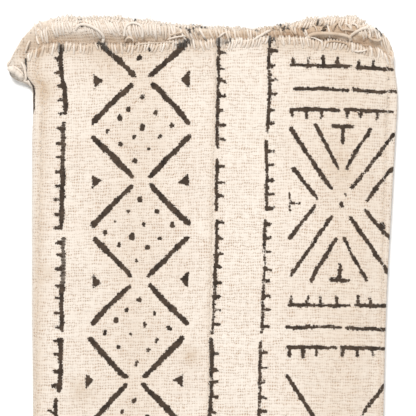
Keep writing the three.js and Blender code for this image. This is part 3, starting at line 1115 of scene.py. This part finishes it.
def floor_nodes(board):
    """Plain pale matt paper."""
    place = board.add("ShaderNodeTexCoord", out="Object")
    return PAPER, 0.9, board.noise(place, 900.0), PAPER_DEPTH, 0.0


def new_mesh(name, points, faces=(), edges=()):
    mesh = bpy.data.meshes.new(name)
    mesh.from_pydata((points * MM).tolist(), edges, faces)
    mesh.shade_smooth()
    return mesh


def add_object(data):
    obj = bpy.data.objects.new(data.name, data)
    bpy.context.scene.collection.objects.link(obj)
    return obj


def put_attributes(mesh, **columns):
    """A value or a vector for each point of a mesh, by name."""
    for name, values in columns.items():
        kind, field = ("FLOAT_VECTOR", "vector") if np.ndim(values) > 1 else ("FLOAT", "value")
        layer = mesh.attributes.new(name, kind, "POINT")
        layer.data.foreach_set(field, np.ascontiguousarray(values, dtype=np.float32).ravel())


def make_cloth(painting):
    """The folded cloth, and how far its points were moved to stand over the origin."""
    points, weave, faces = cloth_mesh()
    low, high = points.min(0), points.max(0)
    shift = np.array([(low[0] + high[0]) / 2, (low[1] + high[1]) / 2, low[2]])
    mesh = new_mesh("cloth_sheet", points - shift, faces)
    place = weave[:, :2]
    depth, tone = painting.cover(place)
    back = weave[:, 2] < 0
    put_attributes(
        mesh, weave=weave, stain=stain_and_shade_at(place, points),
        paint=np.where(back, depth - BACK_SOAK, depth), tone=np.where(back, tone * BACK_FADE, tone),
    )
    mesh.materials.append(new_material("handwoven_cotton", cloth_nodes))
    return add_object(mesh), shift


# Overlocking along both hems, in millimetres. "short" and "long" are the stitches of the top
# layer and of the others.
STITCH = {
    "pitch": 2.2, "short": 5.0, "long": 7.8, "uneven": 0.2, "thread": 0.86, "kept": 0.95,
    "lean": 1.3, "wave": 70.0, "stray_top": 0.6, "stray": 1.0,
}
# The points of a stitch on a face: how far from the hem they lie, as shares of its reach, and
# how far off the face, in radii of the thread. STITCH_RIM is that of the one past the hem.
STITCH_SHARES = (1.0, 0.75, 0.45, 0.12)
STITCH_ABOVE = (-0.3, 0.4, 0.4, 0.4)
STITCH_RIM = 0.6
SIDE_MARGIN = 0.1
# Where the overlocking of the near hem is worn off, along the cloth: over the loose corner,
# and behind the top hem.
BARE = {"from": (212, 533), "to": (238, 572), "kept": 0.2}
LOOPER = {"pitch": 1.3, "thread": 0.36, "from_edge": 0.5, "strays": 0.5, "above": 0.45}
STEP_SPREAD = 0.16

# Whipping over the joins of the strips.
WHIP = {"pitch": 5.5, "reach": 1.3, "thread": 0.26, "stray_along": 0.3, "stray_down": 0.4}

# Stray fibres at the hems.
FUZZ = {"pitch": 0.6, "length": 3.4, "thread": 0.06, "band": 2.0, "above": 0.9, "stray": 0.9}
FUZZ_STEPS = (0, 0.35, 0.7, 1.0)

# How each piece of sewing is swept: the radius of its threads, how uneven it is, the seed of
# that, and how many sides a thread has. LOOSE_SWEEP is the same without the radius.
SWEEPS = {
    "overlock_stitches": (STITCH["thread"], 0.2, 3, 5),
    "overlock_loopers": (LOOPER["thread"], 0.25, 5, 5),
    "strip_whipping": (WHIP["thread"], 0.2, 7, 4),
    "hem_fuzz": (FUZZ["thread"], 0.2, 9, 3),
}
LOOSE_SWEEP = (0.12, 11, 7)

# Loose loops and ends of yarn that lie on the hems, in the plan: "up" is measured from the
# straight hem line, and "bulge" bows a yarn to the left of the way it runs.
LOOSE = {
    "across": (
        32.3, 67.6, 68.3, 76.2, 99.9, 100.4, 137, 163.6, 182.2, 200.1,
        231.9, 227.3, 247.2, 235.9, -16.4, -16.4, -8.2, -5.0, 200.1, 216, 202.5,
        220.5, 229.5, 206.0, 225.0, 190.5, 234.5,
    ),
    "up": (
        10.7, 6.2, 2.6, -0.5, 3.8, 6.2, 5.1, 3.7, 11, 10.4,
        4.4, 10.4, 7, -4.9, -17.5, -17.5, -13.1, -5, 3.7, -0.3, 4.4,
        10.2, 15.0, 14.0, 16.0, 13.0, 15.0,
    ),
    "to_across": (
        51.5, 81.1, 73.8, 104.8, 113.4, 110.7, 141.3, 174.2, 182.8, 201.2,
        245, 235.3, 255.9, 245.3, -7.9, -7.9, -5.4, -2.1, 212, 231.9, 233,
        224.0, 233.5, 208.5, 227.5, 194.0, 238.5,
    ),
    "to_up": (
        1.2, 5.6, 0.1, 1.3, 6.2, 8.8, 8.8, 10.4, 5.8, 5.8,
        11.7, 9.7, 5.1, -3.9, -24.1, -24.1, -25.6, 2.9, -0.3, -2.9, 3,
        15.6, 10.5, 7.5, 10.0, 7.5, 11.5,
    ),
    "bulge": (
        7, 9.5, 3.6, 0.8, 0.6, 0.5, 0.3, 0.4, 0, 0.3,
        1.5, 0.5, -3, -0.7, 3.4, 0.6, 1.5, 0.3, 3, 3.5, 4,
        1.3, 1.0, 0.9, -0.9, -1.2, 1.0,
    ),
    "radius": (
        1.1, 1.0, 0.8, 0.5, 0.65, 0.65, 0.8, 1.0, 0.8, 0.8,
        1.1, 0.8, 1.0, 0.65, 0.8, 2.2, 1.1, 0.8, 0.65, 0.65, 1.35,
        1.0, 1.0, 0.65, 0.8, 0.8, 0.8,
    ),
}
LOOSE_STEP = 0.9
LOOSE_LIFT = 0.55
LOOSE_STRAY = 0.07
LOOSE_REST = 0.8
ROUND_BULGE = 2.0
BULGE_POWER = 0.6
SMOOTH_OVER = 5

# How stained a thread is beside the cloth under it, whose painted shade it takes on too, how
# much threads differ in that, and the radius above which they are of dull yarn.
THREAD_TONE = (-0.3, 0.45)
WORN_ABOVE = 0.9


def thread_tree():
    """Geometry Nodes that turn a mesh of paths into threads."""
    tree = bpy.data.node_groups.new("threads", "GeometryNodeTree")
    kinds = {
        "Paths": "Geometry", "Thread radius": "Float", "Sides": "Int", "Unevenness": "Float",
        "Seed": "Int", "Thread": "Material",
    }
    for name, kind in kinds.items():
        tree.interface.new_socket(name, in_out="INPUT", socket_type="NodeSocket" + kind)
    tree.interface.new_socket("Threads", in_out="OUTPUT", socket_type="NodeSocketGeometry")

    board = Board(tree)
    given = {name: board.add("NodeGroupInput", out=name) for name in kinds}

    def step(kind, **sockets):
        named = {name.replace("_", " "): wire for name, wire in sockets.items()}
        return board.add("GeometryNode" + kind, None, named)

    least, most = 1 - given["Unevenness"], given["Unevenness"] + 1
    chance = {2: least, 3: most, "Seed": given["Seed"]}
    vary = board.add("FunctionNodeRandomValue", None, chance, out=1)
    curve = step("MeshToCurve", Mesh=given["Paths"])
    curve = step("SetCurveRadius", Curve=curve, Radius=given["Thread radius"] * vary)
    ring = step("CurvePrimitiveCircle", Resolution=given["Sides"], Radius=1.0)
    sweep = step("CurveToMesh", Curve=curve, Profile_Curve=ring, Fill_Caps=True)
    scale = sweep.socket.node.inputs.get("Scale")
    if scale:
        tree.links.new(step("InputRadius").socket, scale)
    done = step("RealizeInstances", Geometry=step("SetShadeSmooth", Geometry=sweep))
    done = step("SetMaterial", Geometry=done, Material=given["Thread"])
    board.add("NodeGroupOutput", None, {"Threads": done})
    return tree


def sweep_threads(name, paths, tree, paint, stain_and_shade_of, **values):
    """A plain mesh of threads along paths, each a list of points in millimetres. values are
    what the thread tree is given."""
    counts = [len(path) for path in paths]
    starts = np.cumsum([0] + counts)
    edges = [(i, i + 1) for k in range(len(paths)) for i in range(starts[k], starts[k + 1] - 1)]
    points = np.concatenate(paths)
    mesh = new_mesh(name + "_paths", points, edges=edges)
    tone = np.repeat(RANDOM.normal(*THREAD_TONE, len(paths)), counts)
    put_attributes(
        mesh, stain=tone + [stain_and_shade_of(point) for point in (points * MM).tolist()],
        paint=np.full(len(points), NO_PAINT) if paint is None else np.concatenate(paint),
    )
    obj = add_object(mesh)
    modifier = obj.modifiers.new("threads", "NODES")
    modifier.node_group = tree
    for item in tree.interface.items_tree:
        value = values.get(item.name.lower().replace(" ", "_"))
        if value is not None:
            modifier[item.identifier] = value
    graph = bpy.context.evaluated_depsgraph_get()
    swept = bpy.data.meshes.new_from_object(obj.evaluated_get(graph), depsgraph=graph)
    swept.name = name
    bpy.data.objects.remove(obj)
    bpy.data.meshes.remove(mesh)
    return add_object(swept)


def laid(along, down, shape, part=0):
    """One part of what shape(stretch, share, down) gives at distances along and down."""
    f = folds_at(down)
    found = np.zeros((len(along), 3))
    for stretch in STRETCHES:
        start, end = ends_of(stretch, f)
        here = (along > start) & (along <= end)
        if here.any():
            share = ((along - start) / (end - start))[here]
            found[here] = shape(stretch, share, down[here])[part]
    return found


def on_face(along, down, side, above):
    """Points above a face of the cloth."""
    off = laid(along, down, directions)
    return laid(along, down, lambda *place: skin(*place, side)) + side * above * off


def hem_alongs(pitch):
    """Uneven steps along a hem."""
    count = int(CLOTH_WIDTH / pitch * 1.2)
    along = np.cumsum(pitch * (1 + RANDOM.normal(0, STEP_SPREAD, count)))
    return along[along < CLOTH_WIDTH - pitch]


def from_hem(distance, far_end):
    return CLOTH_LENGTH - distance if far_end else distance


def outward(along, down, far_end):
    """Unit vectors away from the cloth at a hem."""
    return laid(along, down, directions, 1) * (-1 if far_end else 1)


def stitch_paths(far_end, painting):
    """The upright threads of the overlocking, each over the edge from face to face, and how
    deep in the paint each of their points lies."""
    along = hem_alongs(STITCH["pitch"])
    f = folds_at(np.array(0.0))
    on_top = (along > f["outer_start"]) & (along < f["right_end"])
    kept = on_top | (RANDOM.random(len(along)) < STITCH["kept"])
    for start, end in zip(BARE["from"], BARE["to"]):
        worn = (along > start) & (along < end) & (RANDOM.random(len(along)) > BARE["kept"])
        kept &= ~worn | far_end
    along, on_top = along[kept], on_top[kept]
    count = len(along)
    reach = np.where(on_top, STITCH["short"], STITCH["long"])
    reach = reach * (1 + RANDOM.normal(0, STITCH["uneven"], count))
    stray = np.where(on_top, STITCH["stray_top"], STITCH["stray"])
    lean = STITCH["lean"] * wave(along, STITCH["wave"]) + RANDOM.normal(0, 1, count) * stray
    faces, paint = {}, {}
    for side in (1, -1):
        faces[side], paint[side] = [], []
        for share, above in zip(STITCH_SHARES, STITCH_ABOVE):
            down = from_hem(reach * share, far_end)
            at = np.clip(along + lean * share * side, SIDE_MARGIN, CLOTH_WIDTH - SIDE_MARGIN)
            faces[side].append(on_face(at, down, side, STITCH["thread"] * above))
            paint[side].append(painting.depth_at(at, down, side))
    end = from_hem(np.zeros(count), far_end)
    past = EDGE_ROUND + STITCH["thread"] * STITCH_RIM
    rim = laid(along, end, on_cloth) + outward(along, end, far_end) * past
    threads = np.stack([*faces[1], rim, *faces[-1][::-1]], axis=1)
    depths = np.stack([*paint[1], paint[1][-1] - EDGE_SOAK, *paint[-1][::-1]], axis=1)
    return list(threads), list(depths)


def looper_path(far_end):
    """The thread that links the stitches along the cut edge."""
    along = hem_alongs(LOOPER["pitch"])
    stray = np.abs(RANDOM.normal(0, LOOPER["strays"], len(along)))
    down = from_hem(LOOPER["from_edge"] + stray, far_end)
    rows = np.stack([on_face(along, down, side, LOOPER["above"]) for side in (1, -1)])
    return rows[np.arange(len(along)) % 2, np.arange(len(along))]


def whip_paths(painting):
    """The sewing over each join of two strips, on both faces, and how deep in the paint each
    of its points lies."""
    down = np.arange(WHIP["pitch"] / 4, CLOTH_LENGTH - 1, WHIP["pitch"] / 2)
    swing = WHIP["reach"] * (1 - 2 * (np.arange(len(down)) % 2))
    paths, paint = [], []
    for k in range(1, STRIP_COUNT):
        for side in (1, -1):
            stray = RANDOM.normal(0, WHIP["stray_along"], len(down))
            along = k * STRIP_WIDTH + swing + stray
            at = down + RANDOM.normal(0, WHIP["stray_down"], len(down))
            paths.append(on_face(along, at, side, 0.0))
            paint.append(painting.depth_at(along, at, side))
    return paths, paint


def fuzz_paths(far_end):
    """Short curling fibres that stand off a hem."""
    along = hem_alongs(FUZZ["pitch"])
    count = len(along)
    end = from_hem(np.abs(RANDOM.normal(0, FUZZ["band"], count)), far_end)
    off = laid(along, end, directions) * RANDOM.choice((1, -1), count)[:, None]
    start = laid(along, end, on_cloth) + off * FUZZ["above"]
    stray = RANDOM.normal(0, FUZZ["stray"], (count, 3))
    way = unit(off * 0.5 + outward(along, end, far_end) + stray)
    curl = RANDOM.uniform(-1, 1, (count, 3))
    length = FUZZ["length"] * RANDOM.uniform(0.4, 1.5, count)[:, None]
    return list(np.stack([start + length * (way * t + curl * t * t) for t in FUZZ_STEPS], axis=1))


def over_neighbours(values, combine):
    """Each value of a row combined with the ones beside it."""
    padded = np.pad(values, SMOOTH_OVER // 2, mode="edge")
    return combine([padded[k:k + len(values)] for k in range(SMOOTH_OVER)], axis=0)


def loose_path(i, surface, shift):
    """One loose yarn, laid on the cloth from above."""
    across, up, to_across, to_up, bulge, radius = (column[i] for column in LOOSE.values())
    start = np.array([across, up])
    way = np.array([to_across, to_up]) - start
    length = np.hypot(*way) + 2 * abs(bulge)
    t = np.linspace(0, 1, int(length / LOOSE_STEP) + 4)[:, None]
    normal = np.array([-way[1], way[0]]) / np.hypot(*way)
    bow = bulge * np.sin(math.pi * t) ** BULGE_POWER
    eased = 0.5 + 0.5 * np.sin(math.pi * (t - 0.5)) if abs(bulge) > ROUND_BULGE else t
    plan = start + way * eased + normal * bow
    plan = plan + RANDOM.normal(0, LOOSE_STRAY, (len(t), 2)) - shift[:2]
    heights = []
    for x, y in plan * MM:
        hit = surface.ray_cast(Vector((x, y, 1)), Vector((0, 0, -1)))[0]
        heights.append(hit.z / MM if hit else 0.0)
    rest = over_neighbours(over_neighbours(heights, np.max), np.mean)
    above = radius * LOOSE_REST + LOOSE_LIFT / radius * np.sin(math.pi * t[:, 0])
    above[[0, -1]] -= radius
    return np.column_stack([plan, rest + above])


def off_floor(paths, radius):
    """Paths kept clear of the surface that the cloth lies on."""
    for path in paths:
        path[:, 2] = np.maximum(path[:, 2], radius)
    return paths


def build():
    painting = whole_pattern()
    cloth, shift = make_cloth(painting)
    thread = new_material("overlock_thread", thread_nodes(THREAD))
    worn = new_material("worn_yarn", thread_nodes(PALE))
    tree = thread_tree()
    faces = [p.vertices[:] for p in cloth.data.polygons]
    surface = BVHTree.FromPolygons([v.co for v in cloth.data.vertices], faces)
    stain_and_shade_data = cloth.data.attributes["stain"].data

    def stain_and_shade_of(point):
        """How stained the cloth is beside a point, with its painted shade and highlights."""
        return stain_and_shade_data[faces[surface.find_nearest(Vector(point))[2]][0]].value

    def threads(name, paths, radius, unevenness, seed, sides, paint=None):
        return sweep_threads(
            name, off_floor(paths, radius * (1 + unevenness)), tree, paint, stain_and_shade_of,
            thread_radius=radius * MM, sides=sides, unevenness=unevenness, seed=seed,
            thread=worn if radius > WORN_ABOVE else thread,
        )

    ends = (False, True)
    stitches, stitch_paint = map(list, zip(*(stitch_paths(far, painting) for far in ends)))
    paths = {"overlock_stitches": sum(stitches, [])}
    paths["overlock_loopers"] = [looper_path(far) for far in ends]
    paths["strip_whipping"], whip_paint = whip_paths(painting)
    paths["hem_fuzz"] = [path for far in ends for path in fuzz_paths(far)]
    paint = {"overlock_stitches": sum(stitch_paint, []), "strip_whipping": whip_paint}
    pieces = [
        threads(name, [path - shift for path in paths[name]], *sweep, paint.get(name))
        for name, sweep in SWEEPS.items()
    ]
    for radius in sorted(set(LOOSE["radius"])):
        yarns = [
            loose_path(i, surface, shift)
            for i in range(len(LOOSE["radius"])) if LOOSE["radius"][i] == radius
        ]
        name = "loose_yarns_%d" % round(radius * 100)
        pieces.append(threads(name, yarns, radius, *LOOSE_SWEEP))
    return cloth, pieces, shift


FLOOR_HALF = 4000.0
SENSOR = 36.0
LIGHTS = {
    "name": ("key", "fill"),
    "place": ((-1.0, 2.9, 4.0), (0.9, -0.6, 1.6)),
    "size": (1.8, 1.2),
    "power": (229, 9),
}
WORLD_STRENGTH = 0.48


def make_floor():
    corners = [(-1, -1, 0), (1, -1, 0), (1, 1, 0), (-1, 1, 0)]
    mesh = new_mesh("floor", np.array(corners) * FLOOR_HALF, [(0, 1, 2, 3)])
    mesh.materials.append(new_material("pale_floor", floor_nodes))
    return add_object(mesh)


def add_camera(shift, top):
    """A long lens straight above, with the photograph's frame on the top layer."""
    across = (PHOTO_PIXELS / 2 - LEFT_FOLD_PIXEL) * PIXEL
    up = (HEM_PIXEL - PHOTO_PIXELS / 2) * PIXEL
    camera = bpy.data.cameras.new("camera")
    camera.sensor_fit = "HORIZONTAL"
    camera.sensor_width = SENSOR
    camera.lens = SENSOR * CAMERA_HEIGHT / (PHOTO_PIXELS * PIXEL)
    camera.clip_start = 0.1
    obj = add_object(camera)
    obj.location = ((across - shift[0]) * MM, (up - shift[1]) * MM, top + CAMERA_HEIGHT * MM)
    bpy.context.scene.camera = obj


def add_lights():
    for name, place, size, power in zip(*LIGHTS.values()):
        light = bpy.data.lights.new(name, "AREA")
        light.shape = "DISK"
        light.size = size
        light.energy = power
        obj = add_object(light)
        obj.location = place
        obj.rotation_euler = (-Vector(place)).to_track_quat("-Z", "Y").to_euler()


def add_world():
    world = bpy.data.worlds.new("studio")
    world.use_nodes = True
    background = world.node_tree.nodes["Background"]
    background.inputs["Color"].default_value = (1, 1, 1, 1)
    background.inputs["Strength"].default_value = WORLD_STRENGTH
    bpy.context.scene.world = world


cloth, sewing, shift = build()
add_camera(shift, max(corner[2] for corner in cloth.bound_box))
add_world()
add_lights()
bpy.context.scene.view_settings.view_transform = "Standard"

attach(cloth, "root")
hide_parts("cloth")
for piece in sewing:
    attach(piece, "root")
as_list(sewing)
make_floor()
